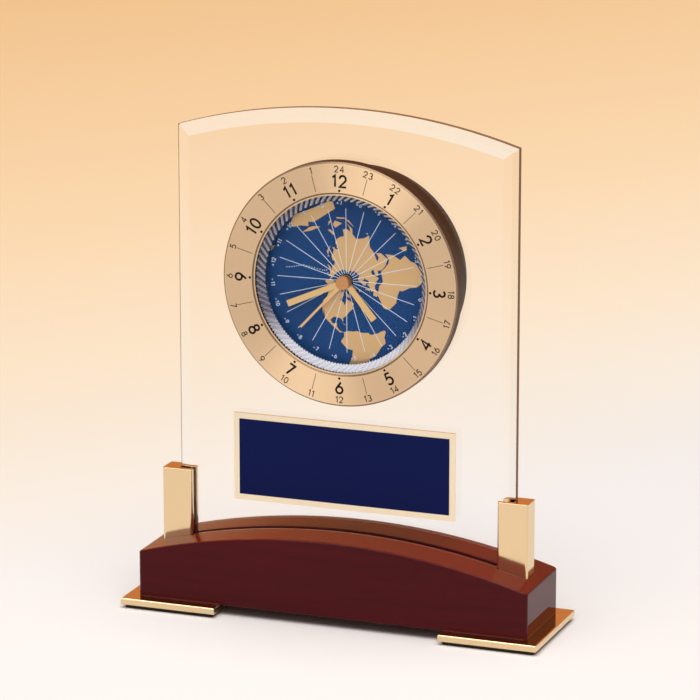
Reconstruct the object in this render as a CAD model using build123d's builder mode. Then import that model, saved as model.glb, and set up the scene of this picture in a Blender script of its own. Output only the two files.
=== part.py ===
# World time clock on a bevelled glass panel, with brass posts and an arched wooden base.
# Millimetres. +Z up, the dial faces -Y, and the origin is on the table under the middle of the base.
import math
import os

from build123d import *

os.makedirs("parts", exist_ok=True)

# Wooden base: arched block with a groove for the glass and a mortise for each post
base_width = 160.8
base_depth = 38.0
base_end_height = 18.3
base_rise = 11.8
base_edge_round = 1.6
groove_floor_height = 13.0
mortise_floor_height = 12.0
fit_clearance = 0.1

# Foot plates under the base ends, with felt under them
plate_length = 39.6
plate_thickness = 2.5
plate_overhang_x = 5.5
plate_overhang_y = 5.3
plate_edge_chamfer = 0.3
felt_thickness = 1.6
felt_inset = 1.2

# Brass posts, slotted for the edge of the glass
post_width = 12.4
post_depth = 9.2
post_height = 31.0
post_inset = 10.8
post_edge_round = 0.9
slot_overlap = 6.0

# Screws
post_screw_radius = 1.5
post_screw_reach = 9.0
plate_screw_radius = 1.3
plate_screw_length = 9.0
plate_screw_offset = 24.0
screw_head_height = 1.5
cover_screw_radius = 1.1
cover_screw_length = 6.0
cover_screw_head = 0.8
screw_slot_width = 0.6

# Glass panel
glass_edge_gap = 0.2
glass_thickness = 5.0
glass_corner_height = 173.8
glass_rise = 10.6
bevel_width = 5.4
bevel_depth = 2.2

# Plate under the dial
name_plate_width = 91.6
name_plate_height = 35.2
name_plate_thickness = 0.8
name_plate_border = 2.4
name_panel_thickness = 0.3
name_plate_drop = 73.3

# Clock head: bezel, crystal, case and rear cover, all turned about the clock axis
clock_height = 134.2
bezel_radius = 48.0
bezel_inner_radius = 35.6
bezel_thickness = 1.0
bezel_rim_depth = 5.3
bezel_rim_wall = 1.5
bezel_edge = 0.6
bezel_lip = 0.5
case_radius = 42.0
case_wall = 1.6
case_ledge = 1.4
case_depth = 23.2
grip_thickness = 1.1
crystal_radius = 37.5
lens_thickness = 1.2
skirt_depth = 1.0
skirt_width = 3.2
lens_ledge = 0.2
crystal_seat = 1.5
cover_thickness = 1.8
cover_edge_round = 0.9
boss_radius = 2.6
boss_length = 8.0
cover_screw_count = 3
boss_turn = 90

# Depths of the moving layers behind the front of the bezel
cap_depth = 3.0
second_hand_depth = 4.6
minute_hand_depth = 5.6
hour_hand_depth = 6.6
disc_depth = 8.0
hand_thickness = 0.3
layer_gap = 0.3

# World disc and the gears that turn it backwards once a day
disc_radius = 35.0
disc_thickness = 1.0
world_module = 1.0
sun_teeth = 24
idler_teeth = 12
ring_teeth = 48
ring_wall = 2.0
world_gear_thickness = 1.3

# Motion works between the minute and the hour hand
motion_module = 0.5
cannon_teeth = 12
minute_wheel_teeth = 36
minute_pinion_teeth = 10
hour_teeth = 40
setting_teeth = 12
wheel_thickness = 1.0

# Drive from the stepping motor to the second hand and on to the minute arbor
drive_module = 0.3
rotor_teeth = 8
step_wheel_teeth = 40
step_pinion_teeth = 8
seconds_wheel_teeth = 48
seconds_pinion_teeth = 8
third_wheel_teeth = 64
third_pinion_teeth = 8
centre_wheel_teeth = 60
drive_thickness = 0.8
drive_gap = 0.4

# Shape of the teeth, as shares of the module and of the half pitch
tooth_addendum = 0.8
tooth_dedendum = 1.15
tooth_fill = 0.72
tooth_flank = math.tan(math.radians(14.0))

# Arbors and pins
second_arbor_radius = 0.6
cannon_radius = 1.5
hour_pipe_radius = 2.6
stud_radius = 0.9
idler_stud_radius = 1.6
drive_pin_radius = 0.4
running_clearance = 0.05
setting_shaft_radius = 1.4
cap_radius = 2.7

# Hands, at the time of day that they show at rest
hour_hand_angle = 140.5
minute_hand_angle = 246.0
second_hand_angle = 223.0
hour_hand_length = 18.5
hour_hand_width = 2.8
minute_hand_length = 25.7
minute_hand_width = 2.5
second_hand_length = 26.0
second_hand_width = 0.9
second_hand_root = 11.0
second_root_width = 1.5
hand_root_share = 0.85
hand_boss = 1.2

# Movement: round plate, tray behind it, motor, board and battery
plate_disc_thickness = 1.6
tray_height = 48.0
tray_wall = 1.4
tray_gap = 0.6
battery_radius = 5.25
battery_length = 44.5
battery_gap = 0.85
battery_nub_radius = 1.9
battery_nub_length = 0.8
contact_thickness = 0.5
contact_gap = 0.15
contact_width = 8.0
door_margin = 1.2
door_clearance = 0.3
door_lip = 0.7
board_width = 8.5
board_height = 22.0
board_thickness = 1.2
stator_width = 22.0
stator_bar = 3.6
stator_reach = 10.2
stator_thickness = 0.8
magnet_radius = 1.7
magnet_length = 2.0
magnet_gap = 0.45
coil_length = 13.0
coil_radius = 3.2
coil_flange = 0.8

# Setting knob on the rear cover
knob_radius = 6.4
knob_thickness = 2.4
knob_well_depth = 1.0
knob_gap = 0.3
knob_ribs = 24
knob_rib_depth = 0.5

# Places that follow from the sizes above
base_z = felt_thickness + plate_thickness
base_end_z = base_z + base_end_height
base_top_z = base_end_z + base_rise
groove_z = base_z + groove_floor_height
mortise_z = base_z + mortise_floor_height
post_x = base_width / 2 - post_inset
post_top_z = base_end_z + post_height
post_outer_x = post_x + post_width / 2
glass_edge_x = post_x - glass_edge_gap
glass_width = 2 * glass_edge_x
glass_corner_z = groove_z + glass_corner_height
glass_top_z = glass_corner_z + glass_rise
glass_front_y = -glass_thickness / 2
slot_width = glass_thickness + 2 * fit_clearance
slot_end_x = glass_edge_x + fit_clearance
post_screw_x = (slot_end_x + post_outer_x) / 2
plate_outer_x = base_width / 2 + plate_overhang_x
plate_x = plate_outer_x - plate_length / 2
plate_width = base_depth + 2 * plate_overhang_y
plate_screw_x = plate_outer_x - plate_screw_offset

clock_z = clock_height
bezel_front_y = glass_front_y - bezel_rim_depth
clock_axis = Axis((0, 0, clock_z), (0, 1, 0))
hole_radius = case_radius + grip_thickness + fit_clearance
lens_back = bezel_thickness + lens_thickness
skirt_back = lens_back + skirt_depth
case_back = bezel_rim_depth + case_depth
cover_back = case_back + cover_thickness
case_inner_radius = case_radius - case_wall
ledge_radius = case_inner_radius - case_ledge
flange_radius = bezel_radius - bezel_rim_wall - fit_clearance

disc_back = disc_depth + disc_thickness
world_back = disc_back + layer_gap + world_gear_thickness
hour_wheel_back = world_back + layer_gap + wheel_thickness
minute_wheel_back = hour_wheel_back + layer_gap + wheel_thickness
plate_front = minute_wheel_back + layer_gap
plate_back = plate_front + plate_disc_thickness
centre_back = plate_back + drive_gap + drive_thickness
third_back = centre_back + drive_gap + drive_thickness
seconds_back = third_back + drive_gap + drive_thickness
step_back = seconds_back + drive_gap + drive_thickness
magnet_back = step_back + drive_gap + magnet_length
tray_back = case_back - tray_gap
tray_floor = tray_back - tray_wall
tray_width = battery_length + 2 * (contact_thickness + contact_gap + tray_wall)
battery_depth = tray_back - battery_radius
battery_drop = tray_height / 2 - tray_wall - battery_gap - battery_radius
stator_front = magnet_back - (magnet_length + stator_thickness) / 2
stator_back = stator_front + stator_thickness

motion_distance = motion_module * (cannon_teeth + minute_wheel_teeth) / 2
hour_module = 2 * motion_distance / (minute_pinion_teeth + hour_teeth)
setting_distance = motion_module * (setting_teeth + minute_wheel_teeth) / 2
idler_distance = world_module * (sun_teeth + idler_teeth) / 2
third_distance = drive_module * (third_pinion_teeth + centre_wheel_teeth) / 2
third_module = 2 * third_distance / (third_wheel_teeth + seconds_pinion_teeth)
step_distance = drive_module * (seconds_wheel_teeth + step_pinion_teeth) / 2
rotor_distance = drive_module * (step_wheel_teeth + rotor_teeth) / 2

minute_side = math.radians(0)
setting_side = math.radians(90)
idler_side = math.radians(180)
third_side = math.radians(150)
step_side = math.radians(60)
rotor_side = math.radians(180)


def step_from(place, distance, side):
    """Point at a distance from a place, in the plane of the dial seen from the front."""
    return (place[0] + distance * math.cos(side), place[1] + distance * math.sin(side))


centre_at = (0.0, 0.0)
minute_at = step_from(centre_at, motion_distance, minute_side)
setting_at = step_from(minute_at, setting_distance, setting_side)
idler_at = step_from(centre_at, idler_distance, idler_side)
third_at = step_from(centre_at, third_distance, third_side)
step_at = step_from(centre_at, step_distance, step_side)
rotor_at = step_from(step_at, rotor_distance, rotor_side)
battery_at = (0.0, -battery_drop)
coil_at = (rotor_at[0], rotor_at[1] + stator_reach)
board_at = (-(tray_width / 2 - tray_wall - board_width / 2), coil_at[1] - board_height / 2)


def dial_plane(depth, at=(0.0, 0.0)):
    """Plane parallel to the dial, facing the front, at a depth behind the bezel's front."""
    origin = (at[0], bezel_front_y + depth, clock_z + at[1])
    return Plane(origin=origin, x_dir=(1, 0, 0), z_dir=(0, -1, 0))


def hand_plane(depth, turn):
    """Plane of a hand, with local x along the hand at its turn from twelve o'clock."""
    angle = math.radians(turn)
    x_dir = (math.sin(angle), 0, math.cos(angle))
    return Plane(origin=(0, bezel_front_y + depth, clock_z), x_dir=x_dir, z_dir=(0, -1, 0))


# Half section through the clock axis: local x is depth, local y is radius
section_plane = Plane(origin=(0, bezel_front_y, clock_z), x_dir=(0, 1, 0), z_dir=(1, 0, 0))


def gear_points(teeth, module, middle, inside=False):
    """Outline of straight-flanked teeth, with a tooth (or an internal gap) centred on an angle."""
    pitch_radius = teeth * module / 2
    outer, inner, fill = tooth_addendum, tooth_dedendum, tooth_fill
    if inside:
        outer, inner, fill = tooth_dedendum, tooth_addendum, 2 - tooth_fill
    half = fill * math.pi * module / 4
    points = []
    for tooth in range(teeth):
        centre = middle + 2 * math.pi * tooth / teeth
        for reach, side in ((-inner, -1), (outer, -1), (outer, 1), (-inner, 1)):
            radius = pitch_radius + reach * module
            angle = centre + side * (half - reach * module * tooth_flank) / radius
            points.append((radius * math.cos(angle), radius * math.sin(angle)))
    return points


def gap_at(side, teeth):
    """Angle of the tooth beside a gap that is centred on a side."""
    return side + math.pi / teeth


# Wooden base with its groove, mortises and screw holes
with BuildPart() as wood_base:
    with BuildSketch(Plane.XZ):
        with BuildLine():
            Polyline(
                (-base_width / 2, base_end_z),
                (-base_width / 2, base_z),
                (base_width / 2, base_z),
                (base_width / 2, base_end_z),
            )
            ThreePointArc(
                (base_width / 2, base_end_z), (0, base_top_z), (-base_width / 2, base_end_z)
            )
        make_face()
    extrude(amount=base_depth / 2, both=True)
    fillet(wood_base.edges().filter_by(Axis.Z), base_edge_round)
    fillet(wood_base.faces().filter_by(GeomType.CYLINDER).sort_by(Axis.Z)[-1].edges(), base_edge_round / 2)
    with BuildSketch(Plane.XY.offset(groove_z)):
        Rectangle(glass_width + 2 * fit_clearance, slot_width)
    extrude(amount=base_top_z - groove_z, mode=Mode.SUBTRACT)
    with BuildSketch(Plane.XY.offset(mortise_z)):
        with Locations((-post_x, 0), (post_x, 0)):
            Rectangle(post_width + 2 * fit_clearance, post_depth + 2 * fit_clearance)
    extrude(amount=base_top_z - mortise_z, mode=Mode.SUBTRACT)
    with BuildSketch(Plane.XY.offset(base_z)):
        with Locations((-post_screw_x, 0), (post_screw_x, 0)):
            Circle(post_screw_radius + fit_clearance)
    extrude(amount=mortise_floor_height, mode=Mode.SUBTRACT)
    with BuildSketch(Plane.XY.offset(base_z)):
        with Locations((-plate_screw_x, 0), (plate_screw_x, 0)):
            Circle(plate_screw_radius + fit_clearance)
    extrude(amount=plate_screw_length - plate_thickness + fit_clearance, mode=Mode.SUBTRACT)
wood_base.part.label = "wood_base"
export_step(wood_base.part, "parts/wood_base.step")

# Foot plates, felt pads and posts, one of each at both ends
for side, side_name in ((-1, "left"), (1, "right")):
    with BuildPart() as foot_plate:
        with BuildSketch(Plane.XY.offset(felt_thickness)):
            with Locations((side * plate_x, 0)):
                Rectangle(plate_length, plate_width)
        extrude(amount=plate_thickness)
        chamfer(foot_plate.faces().sort_by(Axis.Z)[-1].edges(), plate_edge_chamfer)
        for screw_x, screw_radius in ((post_screw_x, post_screw_radius), (plate_screw_x, plate_screw_radius)):
            hole_radius_here = screw_radius + fit_clearance
            with Locations(Plane((side * screw_x, 0, felt_thickness), z_dir=(0, 0, -1))):
                CounterBoreHole(hole_radius_here, 2 * hole_radius_here, screw_head_height, plate_thickness)
    foot_plate.part.label = "foot_plate_" + side_name
    export_step(foot_plate.part, "parts/foot_plate_" + side_name + ".step")

    with BuildPart() as foot_felt:
        with BuildSketch(Plane.XY):
            with Locations((side * plate_x, 0)):
                RectangleRounded(plate_length - 2 * felt_inset, plate_width - 2 * felt_inset, felt_inset)
        extrude(amount=felt_thickness)
    foot_felt.part.label = "foot_felt_" + side_name
    export_step(foot_felt.part, "parts/foot_felt_" + side_name + ".step")

    with BuildPart() as post:
        with BuildSketch(Plane.XY.offset(mortise_z)):
            with Locations((side * post_x, 0)):
                Rectangle(post_width, post_depth)
        extrude(amount=post_top_z - mortise_z)
        fillet(post.edges().filter_by(Axis.Z), post_edge_round)
        with BuildSketch(Plane.XY.offset(mortise_z)):
            with Locations((side * (slot_end_x - slot_overlap), 0)):
                Rectangle(2 * slot_overlap, slot_width)
        extrude(amount=post_top_z - mortise_z, mode=Mode.SUBTRACT)
        with BuildSketch(Plane.XY.offset(mortise_z)):
            with Locations((side * post_screw_x, 0)):
                Circle(post_screw_radius + fit_clearance)
        extrude(amount=post_screw_reach, mode=Mode.SUBTRACT)
    post.part.label = "post_" + side_name
    export_step(post.part, "parts/post_" + side_name + ".step")

# Screws that pull the plates and posts to the base, two of each kind
with BuildPart() as post_screws:
    with BuildSketch(Plane.XY.offset(felt_thickness)):
        with Locations((-post_screw_x, 0), (post_screw_x, 0)):
            Circle(2 * post_screw_radius)
    extrude(amount=screw_head_height)
    with BuildSketch(Plane.XY.offset(felt_thickness + screw_head_height)):
        with Locations((-post_screw_x, 0), (post_screw_x, 0)):
            Circle(post_screw_radius)
    extrude(amount=mortise_z + post_screw_reach - fit_clearance - felt_thickness - screw_head_height)
post_screws.part.label = "post_screws"
export_step(post_screws.part, "parts/post_screws.step")

with BuildPart() as plate_screws:
    with BuildSketch(Plane.XY.offset(felt_thickness)):
        with Locations((-plate_screw_x, 0), (plate_screw_x, 0)):
            Circle(2 * plate_screw_radius)
    extrude(amount=screw_head_height)
    with BuildSketch(Plane.XY.offset(felt_thickness + screw_head_height)):
        with Locations((-plate_screw_x, 0), (plate_screw_x, 0)):
            Circle(plate_screw_radius)
    extrude(amount=plate_screw_length - screw_head_height)
plate_screws.part.label = "plate_screws"
export_step(plate_screws.part, "parts/plate_screws.step")

# Glass panel with an arched top, a front bevel and the hole for the clock
with BuildPart() as glass_panel:
    with BuildSketch(Plane.XZ):
        with BuildLine():
            Polyline(
                (-glass_edge_x, glass_corner_z),
                (-glass_edge_x, groove_z),
                (glass_edge_x, groove_z),
                (glass_edge_x, glass_corner_z),
            )
            ThreePointArc((glass_edge_x, glass_corner_z), (0, glass_top_z), (-glass_edge_x, glass_corner_z))
        make_face()
        with Locations((0, clock_z)):
            Circle(hole_radius, mode=Mode.SUBTRACT)
    extrude(amount=glass_thickness / 2, both=True)
    glass_front = glass_panel.faces().sort_by(Axis.Y)[0]
    bevelled = glass_front.outer_wire().edges().sort_by(Axis.Z)[1:]
    chamfer(bevelled, bevel_width, bevel_depth, reference=glass_front)
glass_panel.part.label = "glass_panel"
export_step(glass_panel.part, "parts/glass_panel.step")

# Plate under the dial: pale metal border with a dark panel on it
name_plate_z = clock_z - name_plate_drop
with BuildPart() as name_plate:
    with BuildSketch(Plane.XZ.offset(-glass_front_y)):
        with Locations((0, name_plate_z)):
            Rectangle(name_plate_width, name_plate_height)
    extrude(amount=name_plate_thickness)
name_plate.part.label = "name_plate"
export_step(name_plate.part, "parts/name_plate.step")

with BuildPart() as name_plate_panel:
    with BuildSketch(Plane.XZ.offset(-glass_front_y + name_plate_thickness)):
        with Locations((0, name_plate_z)):
            Rectangle(name_plate_width - 2 * name_plate_border, name_plate_height - 2 * name_plate_border)
    extrude(amount=name_panel_thickness)
name_plate_panel.part.label = "name_plate_panel"
export_step(name_plate_panel.part, "parts/name_plate_panel.step")

# Bezel: flat numbered ring with a rim that reaches back to the glass
with BuildPart() as bezel_ring:
    with BuildSketch(section_plane):
        Polygon(
            (bezel_lip, bezel_inner_radius),
            (0, bezel_inner_radius + bezel_lip),
            (0, bezel_radius - bezel_edge),
            (bezel_edge, bezel_radius),
            (bezel_rim_depth, bezel_radius),
            (bezel_rim_depth, bezel_radius - bezel_rim_wall),
            (bezel_thickness, bezel_radius - bezel_rim_wall),
            (bezel_thickness, bezel_inner_radius),
            align=None,
        )
    revolve(axis=clock_axis)
bezel_ring.part.label = "bezel_ring"
export_step(bezel_ring.part, "parts/bezel_ring.step")

# Crystal: flat lens with a sloping skirt that frames the disc
skirt_radius = bezel_inner_radius - lens_ledge
with BuildPart() as crystal:
    with BuildSketch(section_plane):
        Polygon(
            (bezel_thickness, 0),
            (bezel_thickness, crystal_radius),
            (skirt_back, crystal_radius),
            (skirt_back, skirt_radius - skirt_width),
            (lens_back, skirt_radius),
            (lens_back, 0),
            align=None,
        )
    revolve(axis=clock_axis)
crystal.part.label = "crystal"
export_step(crystal.part, "parts/crystal.step")

# Case: flanged can that passes through the glass, with a ledge for the movement plate
seat_front = skirt_back + fit_clearance
seat_radius = crystal_radius + fit_clearance
boss_circle = case_inner_radius - boss_radius
with BuildPart() as clock_case:
    with BuildSketch(section_plane):
        Polygon(
            (bezel_thickness, seat_radius),
            (bezel_thickness, flange_radius),
            (bezel_rim_depth, flange_radius),
            (bezel_rim_depth, case_radius),
            (case_back, case_radius),
            (case_back, case_inner_radius),
            (plate_front, case_inner_radius),
            (plate_front, ledge_radius),
            (seat_front + lens_thickness, ledge_radius),
            (seat_front + lens_thickness, seat_radius - crystal_seat),
            (seat_front, seat_radius - crystal_seat),
            (seat_front, seat_radius),
            align=None,
        )
    revolve(axis=clock_axis)
    with BuildSketch(dial_plane(case_back)):
        with PolarLocations(boss_circle + fit_clearance, cover_screw_count, boss_turn):
            Circle(boss_radius + fit_clearance)
        Circle(case_radius - case_wall / 2, mode=Mode.INTERSECT)
    extrude(amount=boss_length)
    with BuildSketch(dial_plane(case_back)):
        with PolarLocations(boss_circle, cover_screw_count, boss_turn):
            Circle(cover_screw_radius + fit_clearance)
    extrude(amount=cover_screw_length, mode=Mode.SUBTRACT)
clock_case.part.label = "clock_case"
export_step(clock_case.part, "parts/clock_case.step")

# Rubber ring that grips the hole in the glass
with BuildPart() as grip_ring:
    with BuildSketch(dial_plane(bezel_rim_depth + glass_thickness)):
        Circle(case_radius + grip_thickness)
        Circle(case_radius, mode=Mode.SUBTRACT)
    extrude(amount=glass_thickness)
grip_ring.part.label = "grip_ring"
export_step(grip_ring.part, "parts/grip_ring.step")

# Rear cover with the battery opening and the well for the setting knob
door_width = tray_width - 2 * tray_wall
door_height = 2 * battery_radius + 2 * door_margin
with BuildPart() as rear_cover:
    with BuildSketch(dial_plane(cover_back)):
        Circle(case_radius)
    extrude(amount=cover_thickness)
    fillet(rear_cover.edges().sort_by(Axis.Y)[-1], cover_edge_round)
    with BuildSketch(dial_plane(cover_back, battery_at)):
        Rectangle(door_width, door_height)
    extrude(amount=cover_thickness, mode=Mode.SUBTRACT)
    with BuildSketch(dial_plane(cover_back, battery_at)):
        Rectangle(door_width + 2 * door_lip, door_height + 2 * door_lip)
    extrude(amount=cover_thickness / 2, mode=Mode.SUBTRACT)
    with BuildSketch(dial_plane(cover_back, setting_at)):
        Circle(knob_radius + knob_gap)
    extrude(amount=knob_well_depth, mode=Mode.SUBTRACT)
    with BuildSketch(dial_plane(cover_back, setting_at)):
        Circle(setting_shaft_radius + running_clearance)
    extrude(amount=cover_thickness, mode=Mode.SUBTRACT)
    with BuildSketch(dial_plane(cover_back)):
        with PolarLocations(boss_circle, cover_screw_count, boss_turn):
            Circle(cover_screw_radius + fit_clearance)
    extrude(amount=cover_thickness, mode=Mode.SUBTRACT)
rear_cover.part.label = "rear_cover"
export_step(rear_cover.part, "parts/rear_cover.step")

with BuildPart() as rear_cover_screws:
    with BuildSketch(dial_plane(cover_back + cover_screw_head)):
        with PolarLocations(boss_circle, cover_screw_count, boss_turn):
            Circle(2 * cover_screw_radius)
    extrude(amount=cover_screw_head)
    with BuildSketch(dial_plane(cover_back + cover_screw_head)):
        with PolarLocations(boss_circle, cover_screw_count, boss_turn):
            Rectangle(4 * cover_screw_radius, screw_slot_width)
    extrude(amount=cover_screw_head / 2, mode=Mode.SUBTRACT)
    with BuildSketch(dial_plane(cover_back)):
        with PolarLocations(boss_circle, cover_screw_count, boss_turn):
            Circle(cover_screw_radius)
    extrude(amount=cover_thickness + cover_screw_length - fit_clearance)
rear_cover_screws.part.label = "rear_cover_screws"
export_step(rear_cover_screws.part, "parts/rear_cover_screws.step")

# Battery door: lid that lies on the lip of its opening, with a finger groove
door_seat = cover_back - cover_thickness / 2
with BuildPart() as battery_door:
    with BuildSketch(dial_plane(cover_back, battery_at)):
        Rectangle(
            door_width + 2 * (door_lip - door_clearance), door_height + 2 * (door_lip - door_clearance)
        )
    extrude(amount=cover_thickness / 2)
    with BuildSketch(dial_plane(door_seat, battery_at)):
        Rectangle(door_width - 2 * door_clearance, door_height - 2 * door_clearance)
    extrude(amount=cover_thickness / 2)
    with BuildSketch(dial_plane(cover_back, (battery_at[0], battery_at[1] + door_height / 4))):
        SlotOverall(door_height, door_height / 4)
    extrude(amount=cover_thickness / 4, mode=Mode.SUBTRACT)
battery_door.part.label = "battery_door"
export_step(battery_door.part, "parts/battery_door.step")

# Movement plate: round plate on the case ledge, with studs for the idler and the minute wheel
setting_hole_radius = setting_shaft_radius + running_clearance
with BuildPart() as movement_plate:
    with BuildSketch(dial_plane(plate_back)):
        Circle(case_inner_radius - fit_clearance)
        Circle(cannon_radius + running_clearance, mode=Mode.SUBTRACT)
        with Locations(setting_at):
            Circle(setting_hole_radius, mode=Mode.SUBTRACT)
    extrude(amount=plate_disc_thickness)
    with BuildSketch(dial_plane(plate_front, idler_at)):
        Circle(idler_stud_radius)
    extrude(amount=plate_front - world_back + world_gear_thickness)
    with BuildSketch(dial_plane(plate_front, idler_at)):
        Circle(2 * idler_stud_radius)
    extrude(amount=plate_front - world_back - running_clearance)
    with BuildSketch(dial_plane(plate_front, minute_at)):
        Circle(stud_radius)
    extrude(amount=plate_front - hour_wheel_back + wheel_thickness)
    with BuildSketch(dial_plane(third_back, third_at)):
        Circle(drive_pin_radius)
    extrude(amount=third_back - plate_back)
movement_plate.part.label = "movement_plate"
export_step(movement_plate.part, "parts/movement_plate.step")

# Movement tray: open box on the plate, with the battery bay, motor pins and stator pillars
bay_top = -battery_drop + battery_radius + door_margin
pillar_x = stator_width / 2 - stator_bar / 2
with BuildPart() as movement_tray:
    with BuildSketch(dial_plane(tray_back)):
        RectangleRounded(tray_width, tray_height, tray_wall)
    extrude(amount=tray_back - plate_back)
    with BuildSketch(dial_plane(tray_floor)):
        Rectangle(tray_width - 2 * tray_wall, tray_height - 2 * tray_wall)
    extrude(amount=tray_floor - plate_back, mode=Mode.SUBTRACT)
    with BuildSketch(dial_plane(tray_back, (0, bay_top + tray_wall / 2))):
        Rectangle(tray_width - tray_wall, tray_wall)
    extrude(amount=tray_back - step_back - drive_gap)
    with BuildSketch(dial_plane(tray_back, battery_at)):
        Rectangle(door_width, door_height)
    extrude(amount=tray_wall, mode=Mode.SUBTRACT)
    with BuildSketch(dial_plane(tray_back, setting_at)):
        Circle(setting_hole_radius)
    extrude(amount=tray_wall, mode=Mode.SUBTRACT)
    with BuildSketch(dial_plane(tray_floor, step_at)):
        Circle(drive_pin_radius)
    extrude(amount=tray_floor - third_back - drive_gap)
    with BuildSketch(dial_plane(tray_floor, rotor_at)):
        Circle(drive_pin_radius)
    extrude(amount=tray_floor - seconds_back - drive_gap)
    with BuildSketch(dial_plane(tray_floor, rotor_at)):
        with Locations((-pillar_x, 0), (pillar_x, 0)):
            Circle(stator_bar / 2)
    extrude(amount=tray_floor - stator_back)
movement_tray.part.label = "movement_tray"
export_step(movement_tray.part, "parts/movement_tray.step")

# Circuit board on the floor of the tray
with BuildPart() as circuit_board:
    with BuildSketch(dial_plane(tray_floor, board_at)):
        Rectangle(board_width, board_height)
    extrude(amount=board_thickness)
circuit_board.part.label = "circuit_board"
export_step(circuit_board.part, "parts/circuit_board.step")

# Stator: thin steel frame with the rotor's hole in one bar and the coil on the other
with BuildPart() as stator:
    with BuildSketch(dial_plane(stator_back, rotor_at)):
        Rectangle(stator_width, stator_bar)
        Circle(magnet_radius + magnet_gap + stator_bar / 2)
        with Locations((0, stator_reach)):
            Rectangle(stator_width, stator_bar)
        with Locations((-pillar_x, stator_reach / 2), (pillar_x, stator_reach / 2)):
            Rectangle(stator_bar, stator_reach)
        Circle(magnet_radius + magnet_gap, mode=Mode.SUBTRACT)
        with Locations((step_at[0] - rotor_at[0], step_at[1] - rotor_at[1])):
            Circle(drive_pin_radius + magnet_gap, mode=Mode.SUBTRACT)
    extrude(amount=stator_thickness)
stator.part.label = "stator"
export_step(stator.part, "parts/stator.step")

# Coil: wound bobbin that the stator's upper bar passes through
coil_mid = (stator_front + stator_back) / 2
coil_plane = Plane(
    origin=(coil_at[0] - coil_length / 2, bezel_front_y + coil_mid, clock_z + coil_at[1]),
    x_dir=(0, 1, 0),
    z_dir=(1, 0, 0),
)
with BuildPart() as coil:
    with BuildSketch(coil_plane):
        Circle(coil_radius - coil_flange)
    extrude(amount=coil_length)
    with BuildSketch(coil_plane, coil_plane.offset(coil_length - coil_flange)):
        Circle(coil_radius)
    extrude(amount=coil_flange)
    with BuildSketch(coil_plane):
        Rectangle(stator_thickness + 2 * fit_clearance, stator_bar + 2 * fit_clearance)
    extrude(amount=coil_length, mode=Mode.SUBTRACT)
coil.part.label = "coil"
export_step(coil.part, "parts/coil.step")

# Battery, lying across the bay
battery_plane = Plane(
    origin=(-battery_length / 2, bezel_front_y + battery_depth, clock_z + battery_at[1]),
    x_dir=(0, 1, 0),
    z_dir=(1, 0, 0),
)
with BuildPart() as battery:
    with BuildSketch(battery_plane):
        Circle(battery_radius)
    extrude(amount=battery_length - battery_nub_length)
    with BuildSketch(battery_plane.offset(battery_length - battery_nub_length)):
        Circle(battery_nub_radius)
    extrude(amount=battery_nub_length)
battery.part.label = "battery"
export_step(battery.part, "parts/battery.step")

with BuildPart() as battery_contacts:
    with BuildSketch(battery_plane.offset(-contact_gap - contact_thickness)):
        Rectangle(contact_width, contact_width)
    extrude(amount=contact_thickness)
    with BuildSketch(battery_plane.offset(battery_length + contact_gap)):
        Rectangle(contact_width, contact_width)
    extrude(amount=contact_thickness)
battery_contacts.part.label = "battery_contacts"
export_step(battery_contacts.part, "parts/battery_contacts.step")

# World disc and the internal gear on its back
with BuildPart() as world_disc:
    with BuildSketch(dial_plane(disc_back)):
        Circle(disc_radius)
        Circle(hour_pipe_radius + running_clearance, mode=Mode.SUBTRACT)
    extrude(amount=disc_thickness)
world_disc.part.label = "world_disc"
export_step(world_disc.part, "parts/world_disc.step")

ring_radius = world_module * (ring_teeth / 2 + tooth_dedendum) + ring_wall
with BuildPart() as ring_gear:
    with BuildSketch(dial_plane(world_back)):
        Circle(ring_radius)
        Polygon(
            *gear_points(ring_teeth, world_module, idler_side, inside=True), align=None, mode=Mode.SUBTRACT
        )
    extrude(amount=world_back - disc_back)
ring_gear.part.label = "ring_gear"
export_step(ring_gear.part, "parts/ring_gear.step")

# Idler between the sun gear and the internal gear
with BuildPart() as idler_gear:
    with BuildSketch(dial_plane(world_back, idler_at)):
        Polygon(*gear_points(idler_teeth, world_module, idler_side), align=None)
        Circle(idler_stud_radius + running_clearance, mode=Mode.SUBTRACT)
    extrude(amount=world_gear_thickness)
idler_gear.part.label = "idler_gear"
export_step(idler_gear.part, "parts/idler_gear.step")

# Hour wheel with the sun gear and the pipe that carries the hour hand
hour_bore = cannon_radius + running_clearance
with BuildPart() as hour_wheel:
    with BuildSketch(dial_plane(hour_wheel_back)):
        Polygon(*gear_points(hour_teeth, hour_module, gap_at(minute_side, hour_teeth)), align=None)
    extrude(amount=wheel_thickness)
    with BuildSketch(dial_plane(world_back)):
        Polygon(*gear_points(sun_teeth, world_module, gap_at(idler_side, sun_teeth)), align=None)
    extrude(amount=world_gear_thickness)
    with BuildSketch(dial_plane(hour_wheel_back)):
        Circle(hour_pipe_radius)
    extrude(amount=hour_wheel_back - hour_hand_depth - hand_thickness)
    with BuildSketch(dial_plane(hour_wheel_back)):
        Circle(hour_bore)
    extrude(amount=hour_wheel_back, mode=Mode.SUBTRACT)
hour_wheel.part.label = "hour_wheel"
export_step(hour_wheel.part, "parts/hour_wheel.step")

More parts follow.
